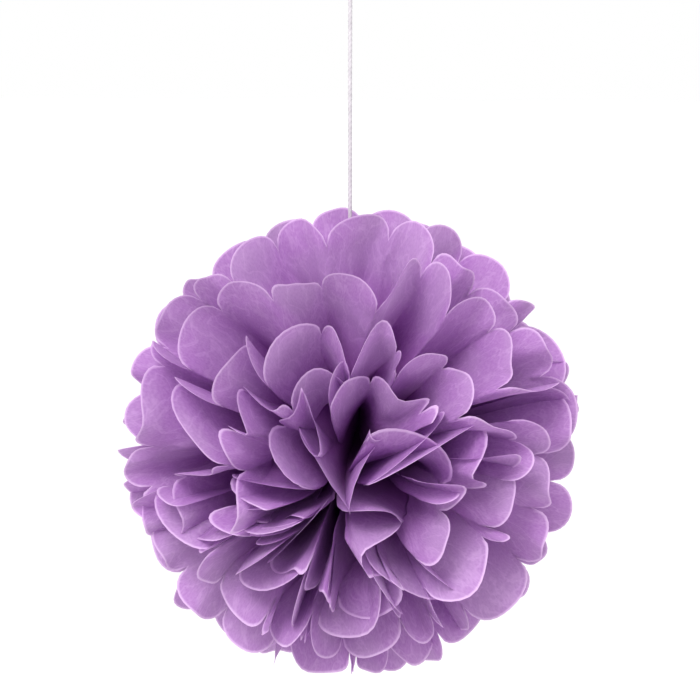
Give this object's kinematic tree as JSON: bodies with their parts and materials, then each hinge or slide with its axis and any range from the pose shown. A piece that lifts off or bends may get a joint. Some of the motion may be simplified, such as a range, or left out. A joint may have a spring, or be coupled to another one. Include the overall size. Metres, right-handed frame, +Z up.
{
  "type": "tissue paper pom pom",
  "caption": "Hanging tissue paper pom pom: pleated round-ended sheets tied across the middle and fanned into a ball, on a cord with a loop.",
  "frame": {"origin": "top of the hanging loop, where a hook holds it", "axes": "+Z up along the cord; the ball's pole, where the tops of the pleats meet, faces -Y; the ball hangs below the origin"},
  "size_m": [0.2544, 0.2463, 0.4083],
  "materials": {
    "tissue": "matte translucent lavender tissue paper, about 17 g per square metre",
    "cord": "white twisted cotton",
    "tie_wire": "bare soft wire"
  },
  "bodies": {
    "root": {"tissue_sheet_01": "tissue", "tissue_sheet_02": "tissue", "tissue_sheet_03": "tissue", "tissue_sheet_04": "tissue", "tissue_sheet_05": "tissue", "tissue_sheet_06": "tissue", "tissue_sheet_07": "tissue", "tissue_sheet_08": "tissue", "tissue_sheet_09": "tissue", "tissue_sheet_10": "tissue", "tie_wire": "tie_wire", "cord_hitch": "cord", "hang_cord": "cord", "hang_loop": "cord", "loop_knot": "cord"}
  },
  "joints": []
}
